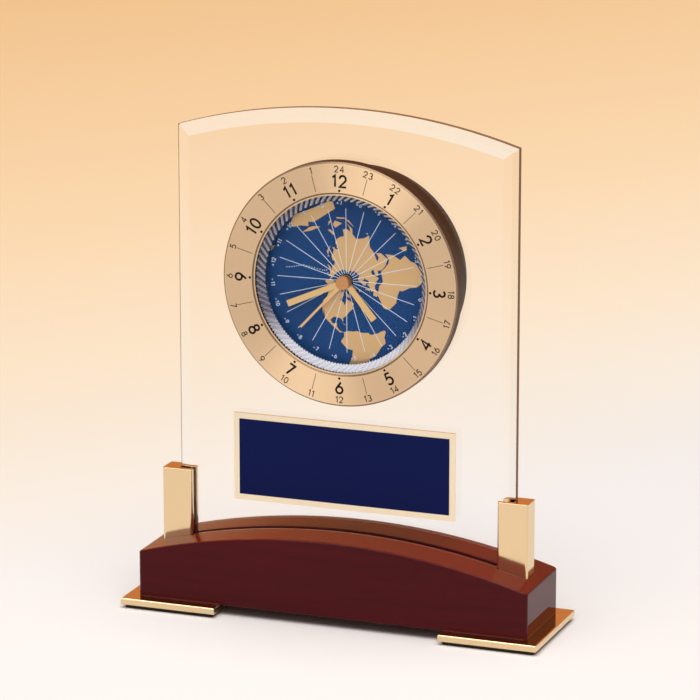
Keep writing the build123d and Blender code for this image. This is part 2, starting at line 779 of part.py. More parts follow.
# Minute wheel and its pinion, on the plate's stud
with BuildPart() as minute_wheel:
    with BuildSketch(dial_plane(minute_wheel_back, minute_at)):
        Polygon(
            *gear_points(minute_wheel_teeth, motion_module, gap_at(minute_side + math.pi, minute_wheel_teeth)),
            align=None,
        )
    extrude(amount=wheel_thickness)
    with BuildSketch(dial_plane(minute_wheel_back, minute_at)):
        Polygon(*gear_points(minute_pinion_teeth, hour_module, minute_side + math.pi), align=None)
    extrude(amount=minute_wheel_back - hour_wheel_back + wheel_thickness)
    with BuildSketch(dial_plane(minute_wheel_back, minute_at)):
        Circle(stud_radius + running_clearance)
    extrude(amount=minute_wheel_back - hour_wheel_back + wheel_thickness, mode=Mode.SUBTRACT)
minute_wheel.part.label = "minute_wheel"
export_step(minute_wheel.part, "parts/minute_wheel.step")

# Cannon pinion: the minute arbor, with a pipe that carries the minute hand
cannon_back = centre_back + drive_gap / 2
with BuildPart() as cannon_pinion:
    with BuildSketch(dial_plane(minute_wheel_back)):
        Polygon(*gear_points(cannon_teeth, motion_module, minute_side), align=None)
    extrude(amount=wheel_thickness)
    with BuildSketch(dial_plane(cannon_back)):
        Circle(cannon_radius)
    extrude(amount=cannon_back - minute_hand_depth - hand_thickness)
    with BuildSketch(dial_plane(cannon_back)):
        Circle(second_arbor_radius + running_clearance)
    extrude(amount=cannon_back, mode=Mode.SUBTRACT)
cannon_pinion.part.label = "cannon_pinion"
export_step(cannon_pinion.part, "parts/cannon_pinion.step")

# Setting shaft with its pinion on the minute wheel, and the ribbed knob behind the cover
setting_phase = setting_side + math.pi
knob_front = cover_back - knob_well_depth + knob_gap
knob_back = knob_front + knob_thickness
minute_wheel_pitch = 2 * math.pi / minute_wheel_teeth
minute_wheel_offset = (setting_side - gap_at(minute_side + math.pi, minute_wheel_teeth)) % minute_wheel_pitch
setting_shift = minute_wheel_offset * minute_wheel_teeth / setting_teeth
with BuildPart() as setting_shaft:
    with BuildSketch(dial_plane(minute_wheel_back, setting_at)):
        Polygon(
            *gear_points(setting_teeth, motion_module, gap_at(setting_phase, setting_teeth) + setting_shift),
            align=None,
        )
    extrude(amount=wheel_thickness)
    with BuildSketch(dial_plane(knob_front, setting_at)):
        Circle(setting_shaft_radius)
    extrude(amount=knob_front - minute_wheel_back + wheel_thickness)
setting_shaft.part.label = "setting_shaft"
export_step(setting_shaft.part, "parts/setting_shaft.step")

with BuildPart() as setting_knob:
    with BuildSketch(dial_plane(knob_back, setting_at)):
        Circle(knob_radius)
        with PolarLocations(knob_radius, knob_ribs):
            Circle(knob_rib_depth, mode=Mode.SUBTRACT)
    extrude(amount=knob_thickness)
setting_knob.part.label = "setting_knob"
export_step(setting_knob.part, "parts/setting_knob.step")

# Drive: rotor, step wheel, second arbor with its wheel, third wheel and centre wheel
step_phase = step_side + math.pi
with BuildPart() as second_arbor:
    with BuildSketch(dial_plane(seconds_back)):
        Polygon(
            *gear_points(seconds_wheel_teeth, drive_module, gap_at(step_side, seconds_wheel_teeth)), align=None
        )
    extrude(amount=drive_thickness)
    with BuildSketch(dial_plane(seconds_back - drive_thickness)):
        Polygon(*gear_points(seconds_pinion_teeth, third_module, third_side), align=None)
    extrude(amount=drive_gap / 2 + drive_thickness)
    with BuildSketch(dial_plane(seconds_back)):
        Circle(second_arbor_radius)
    extrude(amount=seconds_back - second_hand_depth - hand_thickness)
second_arbor.part.label = "second_arbor"
export_step(second_arbor.part, "parts/second_arbor.step")

with BuildPart() as third_wheel:
    with BuildSketch(dial_plane(third_back, third_at)):
        Polygon(
            *gear_points(third_wheel_teeth, third_module, gap_at(third_side + math.pi, third_wheel_teeth)),
            align=None,
        )
    extrude(amount=drive_thickness)
    with BuildSketch(dial_plane(third_back, third_at)):
        Polygon(*gear_points(third_pinion_teeth, drive_module, third_side + math.pi), align=None)
    extrude(amount=third_back - plate_back - drive_gap)
    with BuildSketch(dial_plane(third_back, third_at)):
        Circle(drive_pin_radius + running_clearance)
    extrude(amount=third_back - plate_back, mode=Mode.SUBTRACT)
third_wheel.part.label = "third_wheel"
export_step(third_wheel.part, "parts/third_wheel.step")

with BuildPart() as centre_wheel:
    with BuildSketch(dial_plane(centre_back)):
        Polygon(
            *gear_points(centre_wheel_teeth, drive_module, gap_at(third_side, centre_wheel_teeth)), align=None
        )
        Circle(cannon_radius + running_clearance, mode=Mode.SUBTRACT)
    extrude(amount=drive_thickness)
centre_wheel.part.label = "centre_wheel"
export_step(centre_wheel.part, "parts/centre_wheel.step")

with BuildPart() as step_wheel:
    with BuildSketch(dial_plane(step_back, step_at)):
        Polygon(
            *gear_points(step_wheel_teeth, drive_module, gap_at(rotor_side, step_wheel_teeth)), align=None
        )
    extrude(amount=drive_thickness)
    with BuildSketch(dial_plane(step_back, step_at)):
        Polygon(*gear_points(step_pinion_teeth, drive_module, step_phase), align=None)
    extrude(amount=step_back - seconds_back + drive_thickness)
    with BuildSketch(dial_plane(step_back, step_at)):
        Circle(drive_pin_radius + running_clearance)
    extrude(amount=step_back - seconds_back + drive_thickness, mode=Mode.SUBTRACT)
step_wheel.part.label = "step_wheel"
export_step(step_wheel.part, "parts/step_wheel.step")

with BuildPart() as rotor:
    with BuildSketch(dial_plane(magnet_back, rotor_at)):
        Circle(magnet_radius)
    extrude(amount=magnet_length)
    with BuildSketch(dial_plane(magnet_back - magnet_length, rotor_at)):
        Polygon(*gear_points(rotor_teeth, drive_module, rotor_side + math.pi), align=None)
    extrude(amount=drive_gap + drive_thickness)
    with BuildSketch(dial_plane(magnet_back, rotor_at)):
        Circle(drive_pin_radius + running_clearance)
    extrude(amount=magnet_length + drive_gap + drive_thickness, mode=Mode.SUBTRACT)
rotor.part.label = "rotor"
export_step(rotor.part, "parts/rotor.step")

# Hands and the cap over them
with BuildPart() as hour_hand:
    with BuildSketch(hand_plane(hour_hand_depth + hand_thickness, hour_hand_angle)):
        Polygon(
            (0, -hour_hand_width * hand_root_share / 2),
            (hour_hand_length, -hour_hand_width / 2),
            (hour_hand_length, hour_hand_width / 2),
            (0, hour_hand_width * hand_root_share / 2),
            align=None,
        )
        Circle(hour_pipe_radius)
        Circle(hour_bore, mode=Mode.SUBTRACT)
    extrude(amount=hand_thickness)
hour_hand.part.label = "hour_hand"
export_step(hour_hand.part, "parts/hour_hand.step")

with BuildPart() as minute_hand:
    with BuildSketch(hand_plane(minute_hand_depth + hand_thickness, minute_hand_angle)):
        Polygon(
            (0, -minute_hand_width * hand_root_share / 2),
            (minute_hand_length, -minute_hand_width / 2),
            (minute_hand_length, minute_hand_width / 2),
            (0, minute_hand_width * hand_root_share / 2),
            align=None,
        )
        Circle(cannon_radius + hand_boss)
        Circle(second_arbor_radius + running_clearance, mode=Mode.SUBTRACT)
    extrude(amount=hand_thickness)
minute_hand.part.label = "minute_hand"
export_step(minute_hand.part, "parts/minute_hand.step")

with BuildPart() as second_hand:
    with BuildSketch(hand_plane(second_hand_depth + hand_thickness, second_hand_angle)):
        Polygon(
            (0, -second_root_width / 2),
            (second_hand_root, -second_root_width / 2),
            (second_hand_root, -second_hand_width / 2),
            (second_hand_length, -second_hand_width / 2),
            (second_hand_length, second_hand_width / 2),
            (second_hand_root, second_hand_width / 2),
            (second_hand_root, second_root_width / 2),
            (0, second_root_width / 2),
            align=None,
        )
        Circle(second_arbor_radius + hand_boss)
    extrude(amount=hand_thickness)
second_hand.part.label = "second_hand"
export_step(second_hand.part, "parts/second_hand.step")

with BuildPart() as hand_cap:
    with BuildSketch(dial_plane(second_hand_depth)):
        Circle(cap_radius)
    extrude(amount=second_hand_depth - cap_depth)
    chamfer(hand_cap.edges().sort_by(Axis.Y)[0], hand_thickness / 2)
hand_cap.part.label = "hand_cap"
export_step(hand_cap.part, "parts/hand_cap.step")
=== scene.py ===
import math

import bmesh
import bpy
from mathutils import Matrix, Vector
from mathutils.geometry import tessellate_polygon


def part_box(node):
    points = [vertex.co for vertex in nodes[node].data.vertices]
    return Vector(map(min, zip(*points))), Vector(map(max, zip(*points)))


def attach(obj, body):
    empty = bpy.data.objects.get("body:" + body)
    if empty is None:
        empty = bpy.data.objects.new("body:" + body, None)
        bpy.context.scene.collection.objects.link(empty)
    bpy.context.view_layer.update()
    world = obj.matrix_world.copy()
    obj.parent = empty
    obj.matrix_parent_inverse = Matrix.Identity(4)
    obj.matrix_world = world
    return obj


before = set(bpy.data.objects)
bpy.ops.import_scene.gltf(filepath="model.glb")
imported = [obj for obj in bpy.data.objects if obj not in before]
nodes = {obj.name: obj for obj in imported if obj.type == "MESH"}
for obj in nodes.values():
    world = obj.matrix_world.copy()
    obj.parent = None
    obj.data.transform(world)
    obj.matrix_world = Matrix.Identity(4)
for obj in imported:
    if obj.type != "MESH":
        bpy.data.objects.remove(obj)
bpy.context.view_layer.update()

mm = 0.001


# Wooden base
# A solid block with an arched top, routed with a groove for the glass and mortised for the posts.
# Red-brown hardwood, stained dark, filled and polished under many coats of clear lacquer.
def colour(code):
    """The linear colour of an sRGB hex value."""
    parts = [int(code[i : i + 2], 16) / 255 for i in (1, 3, 5)]
    linear = [p / 12.92 if p <= 0.04045 else ((p + 0.055) / 1.055) ** 2.4 for p in parts]
    return (*linear, 1.0)


def add_node(tree, kind, settings=None, inputs=None):
    """Adds a node. inputs maps a socket's name or number to a value or to another node's output."""
    node = tree.nodes.new(kind)
    for name, value in (settings or {}).items():
        setattr(node, name, value)
    for key, value in (inputs or {}).items():
        if isinstance(value, bpy.types.NodeSocket):
            tree.links.new(value, node.inputs[key])
        else:
            node.inputs[key].default_value = value
    return node


def start_material(name, code, **sockets):
    """A material with one plain shader; each named socket gets its constant."""
    material = bpy.data.materials.new(name)
    material.use_nodes = True
    shader = material.node_tree.nodes["Principled BSDF"]
    shader.inputs["Base Color"].default_value = colour(code)
    for socket, value in sockets.items():
        shader.inputs[socket.replace("_", " ")].default_value = value
    return material, material.node_tree, shader


def object_point(tree, scale):
    """Object coordinates with each axis scaled, for a pattern of that many repeats in a metre."""
    place = add_node(tree, "ShaderNodeTexCoord")
    return add_node(
        tree, "ShaderNodeMapping", None, {"Vector": place.outputs["Object"], "Scale": scale}
    ).outputs["Vector"]


def two_tones(tree, factor, low, high, first, second):
    """A colour that runs from first to second as the factor goes from low to high."""
    ramp = add_node(tree, "ShaderNodeValToRGB", None, {"Fac": factor})
    ramp.color_ramp.elements[0].position = low
    ramp.color_ramp.elements[0].color = colour(first)
    ramp.color_ramp.elements[1].position = high
    ramp.color_ramp.elements[1].color = colour(second)
    return ramp.outputs["Color"]


def dress(material, *names):
    """Gives CAD nodes their material."""
    for name in names:
        nodes[name].data.materials.clear()
        nodes[name].data.materials.append(material)


# Straight-grained stain under lacquer: almost black red with faint lengthwise streaks and a mirror top coat
grain_length = 60 * mm
grain_width = 3.2 * mm
lacquered_wood, tree, shader = start_material(
    "lacquered_mahogany",
    "#4A0810",
    Roughness=0.4,
    Specular_IOR_Level=0.0,
    Coat_Weight=1.0,
    Coat_Roughness=0.03,
    Coat_IOR=1.22,
)
grain = add_node(
    tree,
    "ShaderNodeTexNoise",
    None,
    {
        "Vector": object_point(tree, (1 / grain_length, 1 / grain_width, 1 / grain_width)),
        "Scale": 1.0,
        "Detail": 4.0,
        "Distortion": 0.4,
    },
)
stain = two_tones(tree, grain.outputs["Fac"], 0.3, 0.75, "#46070E", "#520912")
# Painted light: the arched top is painted a redder tone than the front and ends, standing in for the warm
# backdrop that the lacquer reflects there
leaning_up = 0.5
nearly_level = 0.95
facing = add_node(tree, "ShaderNodeNewGeometry")
upward = add_node(tree, "ShaderNodeSeparateXYZ", None, {0: facing.outputs["Normal"]})
on_top = add_node(
    tree,
    "ShaderNodeMapRange",
    None,
    {"Value": upward.outputs["Z"], "From Min": leaning_up, "From Max": nearly_level},
)
wood_tone_with_painted_top_light = add_node(
    tree,
    "ShaderNodeMix",
    {"data_type": "RGBA"},
    {0: on_top.outputs["Result"], 6: stain, 7: colour("#6C140A")},
)
tree.links.new(wood_tone_with_painted_top_light.outputs[2], shader.inputs["Base Color"])
# The lacquer rounds the edges a little more than the wood under it
lacquer_round = 1.2 * mm
soft_edge = add_node(tree, "ShaderNodeBevel", None, {"Radius": lacquer_round})
tree.links.new(soft_edge.outputs["Normal"], shader.inputs["Normal"])
tree.links.new(soft_edge.outputs["Normal"], shader.inputs["Coat Normal"])
dress(lacquered_wood, "wood_base")


# Foot plates, posts and their screws
# Flat plates under both ends of the base and slotted square posts that stand in it and clasp the glass.
# Cut from brass sheet and bar, hand polished to a faintly hazy mirror, held from below by steel screws.
haze_size = 9 * mm
clearest = 0.07
haziest = 0.14
polished_brass, tree, shader = start_material("polished_brass", "#E8CDA2", Metallic=1.0, Roughness=0.12)
haze = add_node(
    tree,
    "ShaderNodeTexNoise",
    None,
    {"Vector": object_point(tree, (1 / haze_size,) * 3), "Scale": 1.0, "Detail": 3.0},
)
polish = add_node(
    tree,
    "ShaderNodeMapRange",
    None,
    {
        "Value": haze.outputs["Fac"],
        "From Min": 0.3,
        "From Max": 0.7,
        "To Min": clearest,
        "To Max": haziest,
    },
)
tree.links.new(polish.outputs["Result"], shader.inputs["Roughness"])
# Polishing has taken the sharpness off the edges
polished_round = 0.5 * mm
soft_edge = add_node(tree, "ShaderNodeBevel", None, {"Radius": polished_round})
tree.links.new(soft_edge.outputs["Normal"], shader.inputs["Normal"])
dress(polished_brass, "foot_plate_left", "foot_plate_right", "post_left", "post_right")

# Zinc-plated steel: grey, half bright
plated_steel = start_material("plated_steel", "#A9A8A4", Metallic=1.0, Roughness=0.32)[0]
dress(plated_steel, "post_screws", "plate_screws", "rear_cover_screws", "stator", "battery_contacts")


# Felt pads
# Dark pads glued under the foot plates so that the clock doesn't scratch a table.
# Pressed wool felt, matt with a short nap.
fibre_size = 0.7 * mm
nap_height = 0.2 * mm
pressed_felt, tree, shader = start_material("pressed_felt", "#15120F", Roughness=0.95, Sheen_Weight=0.4)
fibre = add_node(
    tree,
    "ShaderNodeTexNoise",
    None,
    {"Vector": object_point(tree, (1 / fibre_size,) * 3), "Scale": 1.0, "Detail": 2.0},
)
nap = add_node(
    tree, "ShaderNodeBump", None, {"Height": fibre.outputs["Fac"], "Strength": 0.5, "Distance": nap_height}
)
tree.links.new(nap.outputs["Normal"], shader.inputs["Normal"])
dress(pressed_felt, "foot_felt_left", "foot_felt_right")


# Glass panel
# An upright pane with an arched top, a round hole for the clock and a wide bevel ground on its front.
# Clear float glass with a polished bevel; it stands in the groove of the base, between the posts.
clear_glass = start_material(
    "clear_float_glass", "#FFFFFF", Roughness=0.0, IOR=1.5, Transmission_Weight=1.0
)[0]
dress(clear_glass, "glass_panel")

# The top and the two upright sides are ground dull, and their brown is painted shade, standing in for the
# dark lines that the edges of clear glass show
ground_depth = 0.03 * mm
arch_drop = 12 * mm
upward_least = 0.9
painted_shade_edge = start_material("glass_edge_painted_shade", "#7A5230", Roughness=0.6)[0]
pane = nodes["glass_panel"].data
pane.materials.append(painted_shade_edge)
pane_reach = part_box("glass_panel")[1]
for face in pane.polygons:
    on_side = abs(face.center.x) > pane_reach[0] - ground_depth
    on_top = face.normal.z > upward_least and face.center.z > pane_reach[2] - arch_drop
    if on_side or on_top:
        face.material_index = 1
nodes["glass_panel"].visible_shadow = False


# Name plate
# A thin plate on the front of the glass, with a coloured panel inside a plain border.
# Pale gold anodised sheet; the panel is dark blue satin enamel.
pale_gold = start_material("pale_gold_anodising", "#F6E6C8", Metallic=1.0, Roughness=0.28)[0]
dress(pale_gold, "name_plate")

orange_peel_size = 1.2 * mm
orange_peel_height = 0.1 * mm
navy_enamel, tree, shader = start_material(
    "navy_enamel", "#101A50", Roughness=0.35, Specular_IOR_Level=0.05
)
peel = add_node(
    tree,
    "ShaderNodeTexNoise",
    None,
    {"Vector": object_point(tree, (1 / orange_peel_size,) * 3), "Scale": 1.0, "Detail": 1.0},
)
skin = add_node(
    tree,
    "ShaderNodeBump",
    None,
    {"Height": peel.outputs["Fac"], "Strength": 0.06, "Distance": orange_peel_height},
)
tree.links.new(skin.outputs["Normal"], shader.inputs["Normal"])
dress(navy_enamel, "name_plate_panel")


# Clock bezel
# A turned ring that covers the edge of the hole and carries the printed hours.
# Champagne anodised aluminium, brushed in circles round the dial, so light gathers in two streaks.
clock_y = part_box("bezel_ring")[0][1]
bezel_low, bezel_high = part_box("bezel_ring")
clock_z = (bezel_low[2] + bezel_high[2]) / 2
# Real brush lines are finer; these are just coarse enough to show
brush_line = 0.25 * mm
brushed_champagne, tree, shader = start_material(
    "brushed_champagne_anodising", "#F0CFA6", Metallic=1.0, Roughness=0.48, Anisotropic=0.95
)
place = add_node(tree, "ShaderNodeTexCoord")
from_axis = add_node(
    tree,
    "ShaderNodeVectorMath",
    {"operation": "SUBTRACT"},
    {0: place.outputs["Object"], 1: (0.0, 0.0, clock_z)},
)
flat = add_node(
    tree, "ShaderNodeVectorMath", {"operation": "MULTIPLY"}, {0: from_axis.outputs[0], 1: (1.0, 0.0, 1.0)}
)
radius = add_node(tree, "ShaderNodeVectorMath", {"operation": "LENGTH"}, {0: flat.outputs[0]})
tree.links.new(flat.outputs[0], shader.inputs["Tangent"])
brush_count = add_node(
    tree, "ShaderNodeMath", {"operation": "MULTIPLY"}, {0: radius.outputs["Value"], 1: 1 / brush_line}
)
brush = add_node(
    tree,
    "ShaderNodeTexNoise",
    {"noise_dimensions": "1D"},
    {"W": brush_count.outputs[0], "Scale": 1.0, "Detail": 2.0},
)
tone = two_tones(tree, brush.outputs["Fac"], 0.25, 0.75, "#EDCBA3", "#F3D6B1")
# Painted shade: the outer wall is painted brown like the case behind it, and the fine chamfers take part of
# that brown, which dulls their highlight.
# The dial faces -Y, so these bounds part the flat front from the chamfers and the wall
chamfer_facing = -0.6
front_facing = -0.9
facing = add_node(tree, "ShaderNodeNewGeometry")
forward = add_node(tree, "ShaderNodeSeparateXYZ", None, {0: facing.outputs["True Normal"]})
on_face = add_node(
    tree,
    "ShaderNodeMapRange",
    None,
    {"Value": forward.outputs["Y"], "From Min": chamfer_facing, "From Max": front_facing},
)
ring_tone_with_painted_shade = add_node(
    tree,
    "ShaderNodeMix",
    {"data_type": "RGBA"},
    {0: on_face.outputs["Result"], 6: colour("#4C2A18"), 7: tone},
)
tree.links.new(ring_tone_with_painted_shade.outputs[2], shader.inputs["Base Color"])
dress(brushed_champagne, "bezel_ring")


# Printed hours
# Large hours 1 to 12 inside a ring of 24 small hours, with a dot at each hour and a line at each odd hour.
# Screen-printed in black-brown ink, a film a few hundredths of a millimetre thick.
def arc(middle_x, middle_y, width, height, start, end):
    """Points on an oval from one angle to another, in degrees, anticlockwise or back."""
    degrees_a_step = 18
    steps = max(2, round(abs(end - start) / degrees_a_step))
    turns = [math.radians(start + (end - start) * i / steps) for i in range(steps + 1)]
    return [(middle_x + width * math.cos(t), middle_y + height * math.sin(t)) for t in turns]


# Each figure is a list of pen strokes in a box one unit high
figures = {
    "0": [arc(0.3, 0.5, 0.3, 0.5, 0, 360)],
    "1": [[(0.0, 0.8), (0.24, 1.0), (0.24, 0.0)]],
    "2": [arc(0.29, 0.7, 0.29, 0.3, 175, -38) + [(0.0, 0.0), (0.6, 0.0)]],
    "3": [arc(0.27, 0.75, 0.25, 0.25, 150, -90), arc(0.27, 0.25, 0.3, 0.25, 90, -150)],
    "4": [[(0.46, 0.0), (0.46, 1.0), (0.0, 0.28), (0.64, 0.28)]],
    "5": [[(0.54, 1.0), (0.14, 1.0), (0.07, 0.56)] + arc(0.27, 0.32, 0.3, 0.32, 125, -145)],
    "6": [[(0.44, 1.0), (0.05, 0.46)], arc(0.3, 0.3, 0.3, 0.3, 0, 360)],
    "7": [[(0.0, 1.0), (0.56, 1.0), (0.16, 0.0)]],
    "8": [arc(0.29, 0.77, 0.23, 0.23, 0, 360), arc(0.29, 0.27, 0.29, 0.27, 0, 360)],
    "9": [[(0.16, 0.0), (0.55, 0.54)], arc(0.3, 0.7, 0.3, 0.3, 0, 360)],
    "+": [[(0.0, 0.45), (0.56, 0.45)], [(0.28, 0.17), (0.28, 0.73)]],
    "-": [[(0.0, 0.45), (0.4, 0.45)]],
}


def stroke(mesh, points, pen, top, bottom, to_dial):
    """Adds one pen stroke as a closed film between two depths; to_dial gives a point its place."""
    same_place = 1e-6
    sharpest = 0.5
    closed = (Vector(points[0]) - Vector(points[-1])).length < same_place
    if closed:
        points = points[:-1]
    count = len(points)
    rings = []
    for i in range(count):
        here = Vector(points[i])
        before = here - Vector(points[i - 1]) if closed or i > 0 else None
        after = Vector(points[(i + 1) % count]) - here if closed or i < count - 1 else None
        before = (before or after).normalized()
        after = (after or before).normalized()
        side = Vector((-before.y - after.y, before.x + after.x)).normalized()
        lean = max(sharpest, side.dot(Vector((-before.y, before.x))))
        reach = side * pen / 2 / lean
        corners = [(here + reach, top), (here - reach, top), (here - reach, bottom), (here + reach, bottom)]
        rings.append([mesh.verts.new(to_dial(p, depth)) for p, depth in corners])
    last = count if closed else count - 1
    for i in range(last):
        first, second = rings[i], rings[(i + 1) % count]
        for k in range(4):
            mesh.faces.new((first[k], first[(k + 1) % 4], second[(k + 1) % 4], second[k]))
    if not closed:
        mesh.faces.new(rings[0][::-1])
        mesh.faces.new(rings[-1])


def write_number(mesh, text, height, pen, turn, out, inward, top, bottom):
    """Writes figures centred at a distance out from the clock's axis, turn clockwise from twelve."""
    letter_space = 0.2
    tall = height - pen
    gap = letter_space * height + pen
    widths = [max(x for line in figures[c] for x, _ in line) * tall for c in text]
    start = -(sum(widths) + gap * (len(text) - 1)) / 2
    facing = turn + math.pi if inward else turn
    middle = Vector((out * math.sin(turn), out * math.cos(turn)))
    for c, width in zip(text, widths):
        shift = start

        def to_dial(p, depth, shift=shift):
            x = p.x + shift
            y = p.y - tall / 2
            return (
                middle.x + x * math.cos(facing) + y * math.sin(facing),
                depth,
                clock_z + middle.y - x * math.sin(facing) + y * math.cos(facing),
            )

        for line in figures[c]:
            stroke(mesh, [(x * tall, y * tall) for x, y in line], pen, top, bottom, to_dial)
        start += width + gap


def seat_piece(name, data, body):
    """Makes a mesh a piece of the part that rides on a body."""
    piece = bpy.data.objects.new(name, data)
    bpy.context.scene.collection.objects.link(piece)
    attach(piece, body)


def finish_mesh(mesh, name, material, body):
    """Turns an edit mesh into a piece that rides on a body."""
    bmesh.ops.recalc_face_normals(mesh, faces=mesh.faces)
    data = bpy.data.meshes.new(name)
    mesh.to_mesh(data)
    mesh.free()
    data.materials.append(material)
    seat_piece(name, data, body)


# Screen ink: black-brown and nearly matt
ink_film = 0.03 * mm
ink_top = clock_y - ink_film
dial_ink = start_material(
    "black_brown_ink", "#1C0E07", Roughness=0.5, Specular_IOR_Level=0.15
)[0]
hour_height = 5.2 * mm
hour_pen = 0.8 * mm
hour_out = 40.6 * mm
day_height = 2.7 * mm
day_pen = 0.36 * mm
day_out = 45.3 * mm
dial_hours = 12
day_hours = 24
print_mesh = bmesh.new()
# Figures in the lower half stand with their heads inwards. The 24 hours count backwards, as the disc turns
for hour in range(1, dial_hours + 1):
    turn = math.tau * hour / dial_hours
    lower_half = 4 <= hour <= 8
    write_number(
        print_mesh, str(hour), hour_height, hour_pen, turn, hour_out, lower_half, ink_top, clock_y
    )
for hour in range(1, day_hours + 1):
    turn = -math.tau * hour / day_hours
    lower_half = 7 <= hour <= 17
    write_number(print_mesh, str(hour), day_height, day_pen, turn, day_out, lower_half, ink_top, clock_y)
finish_mesh(print_mesh, "printed_hours", dial_ink, "stand")


# Hour dots and lines
# The dots stand inside the hours and the short lines between the two rings of figures.
# Printed with them; one node tree sets any mark round the dial at even steps.
marks_tree = bpy.data.node_groups.new("marks_round_the_dial", "GeometryNodeTree")
marks_tree.is_modifier = True
mark_inputs = {
    name: marks_tree.interface.new_socket(name=name, in_out="INPUT", socket_type=kind).identifier
    for name, kind in (
        ("Mark", "NodeSocketObject"),
        ("Count", "NodeSocketInt"),
        ("Distance", "NodeSocketFloat"),
        ("Start", "NodeSocketFloat"),
        ("Step", "NodeSocketFloat"),
        ("Axis", "NodeSocketVector"),
        ("Material", "NodeSocketMaterial"),
    )
}
marks_tree.interface.new_socket(name="Marks", in_out="OUTPUT", socket_type="NodeSocketGeometry")
given = add_node(marks_tree, "NodeGroupInput")
number = add_node(marks_tree, "GeometryNodeInputIndex")
turned = add_node(
    marks_tree,
    "ShaderNodeMath",
    {"operation": "MULTIPLY_ADD"},
    {0: number.outputs[0], 1: given.outputs["Step"], 2: given.outputs["Start"]},
)
sine = add_node(marks_tree, "ShaderNodeMath", {"operation": "SINE"}, {0: turned.outputs[0]})
cosine = add_node(marks_tree, "ShaderNodeMath", {"operation": "COSINE"}, {0: turned.outputs[0]})
outward = add_node(marks_tree, "ShaderNodeCombineXYZ", None, {"X": sine.outputs[0], "Z": cosine.outputs[0]})
stand_off = add_node(
    marks_tree,
    "ShaderNodeVectorMath",
    {"operation": "SCALE"},
    {0: outward.outputs[0], "Scale": given.outputs["Distance"]},
)
spot = add_node(
    marks_tree,
    "ShaderNodeVectorMath",
    {"operation": "ADD"},
    {0: stand_off.outputs[0], 1: given.outputs["Axis"]},
)
spots = add_node(
    marks_tree, "GeometryNodePoints", None, {"Count": given.outputs["Count"], "Position": spot.outputs[0]}
)
heading = add_node(marks_tree, "ShaderNodeCombineXYZ", None, {"Y": turned.outputs[0]})
one_mark = add_node(marks_tree, "GeometryNodeObjectInfo", None, {"Object": given.outputs["Mark"]})
set_out = add_node(
    marks_tree,
    "GeometryNodeInstanceOnPoints",
    None,
    {"Points": spots.outputs[0], "Instance": one_mark.outputs["Geometry"], "Rotation": heading.outputs[0]},
)
made_real = add_node(marks_tree, "GeometryNodeRealizeInstances", None, {"Geometry": set_out.outputs[0]})
coloured = add_node(
    marks_tree,
    "GeometryNodeSetMaterial",
    None,
    {"Geometry": made_real.outputs[0], "Material": given.outputs["Material"]},
)
add_node(marks_tree, "NodeGroupOutput", None, {0: coloured.outputs[0]})


def bar_mark(width, depth, length):
    """One bar, with its length pointing out from the dial's middle."""
    mesh = bmesh.new()
    bmesh.ops.create_cube(mesh, size=1.0, matrix=Matrix.Diagonal((width, depth, length, 1.0)))
    return mesh


def dot_mark(size, depth):
    """One round dot that faces the front."""
    dot_sides = 16
    mesh = bmesh.new()
    bmesh.ops.create_cone(
        mesh,
        cap_ends=True,
        segments=dot_sides,
        radius1=size / 2,
        radius2=size / 2,
        depth=depth,
        matrix=Matrix.Rotation(math.pi / 2, 4, "X"),
    )
    return mesh


def marks_round(name, mesh, count, distance, depth, material, body, start=0.0):
    """Sets a mark round the clock's axis at even steps and makes it a plain piece on a body."""
    data = bpy.data.meshes.new(name + "_one")
    mesh.to_mesh(data)
    mesh.free()
    mark = bpy.data.objects.new(name + "_one", data)
    bpy.context.scene.collection.objects.link(mark)
    holder = bpy.data.objects.new(name + "_holder", bpy.data.meshes.new(name + "_holder"))
    bpy.context.scene.collection.objects.link(holder)
    modifier = holder.modifiers.new("marks", "NODES")
    modifier.node_group = marks_tree
    values = {
        "Mark": mark,
        "Count": count,
        "Distance": distance,
        "Start": start,
        "Step": math.tau / count,
        "Axis": (0.0, depth, clock_z),
        "Material": material,
    }
    for key, value in values.items():
        modifier[mark_inputs[key]] = value
    bpy.context.view_layer.update()
    evaluated = holder.evaluated_get(bpy.context.evaluated_depsgraph_get())
    plain = bpy.data.meshes.new_from_object(evaluated)
    plain.name = name
    holder.modifiers.remove(modifier)
    bpy.data.objects.remove(holder)
    bpy.data.objects.remove(mark)
    seat_piece(name, plain, body)


dot_size = 1.0 * mm
dot_out = 36.9 * mm
line_width = 0.2 * mm
line_inner = 37.0 * mm
line_length = 6.6 * mm
ink_depth = clock_y - ink_film / 2
marks_round(
    "hour_dots",
    dot_mark(dot_size, ink_film),
    dial_hours,
    dot_out,
    ink_depth,
    dial_ink,
    "stand",
)
marks_round(
    "half_hour_lines",
    bar_mark(line_width, ink_film, line_length),
    dial_hours,
    line_inner + line_length / 2,
    ink_depth,
    dial_ink,
    "stand",
    start=math.tau / day_hours,
)


# Crystal
# A clear lens over the dial with a sloping skirt that widens the view and hides the edge of the disc.
# Moulded acrylic; the skirt is covered with fine flutes that catch the light like a twisted cord.
clear_acrylic = start_material(
    "clear_moulded_acrylic", "#FFFFFF", Roughness=0.0, IOR=1.15, Transmission_Weight=1.0
)[0]
dress(clear_acrylic, "crystal")
nodes["crystal"].visible_shadow = False

# Clear flutes with painted light and painted reflection: painted light where the overhead light is caught
# inside, brightest at the foot of the dial, and on every second flute a painted reflection of the dark well
# of the case.
# At the foot of the dial the two kinds are nearly alike, and higher up they part into painted light and
# painted dark
flute_tones = {
    "light_flutes": ("#E4E5F0", "#827F92", "#CFCFDC"),
    "dark_flutes": ("#D2D3E0", "#5E5A6B", "#2A2A3E"),
}
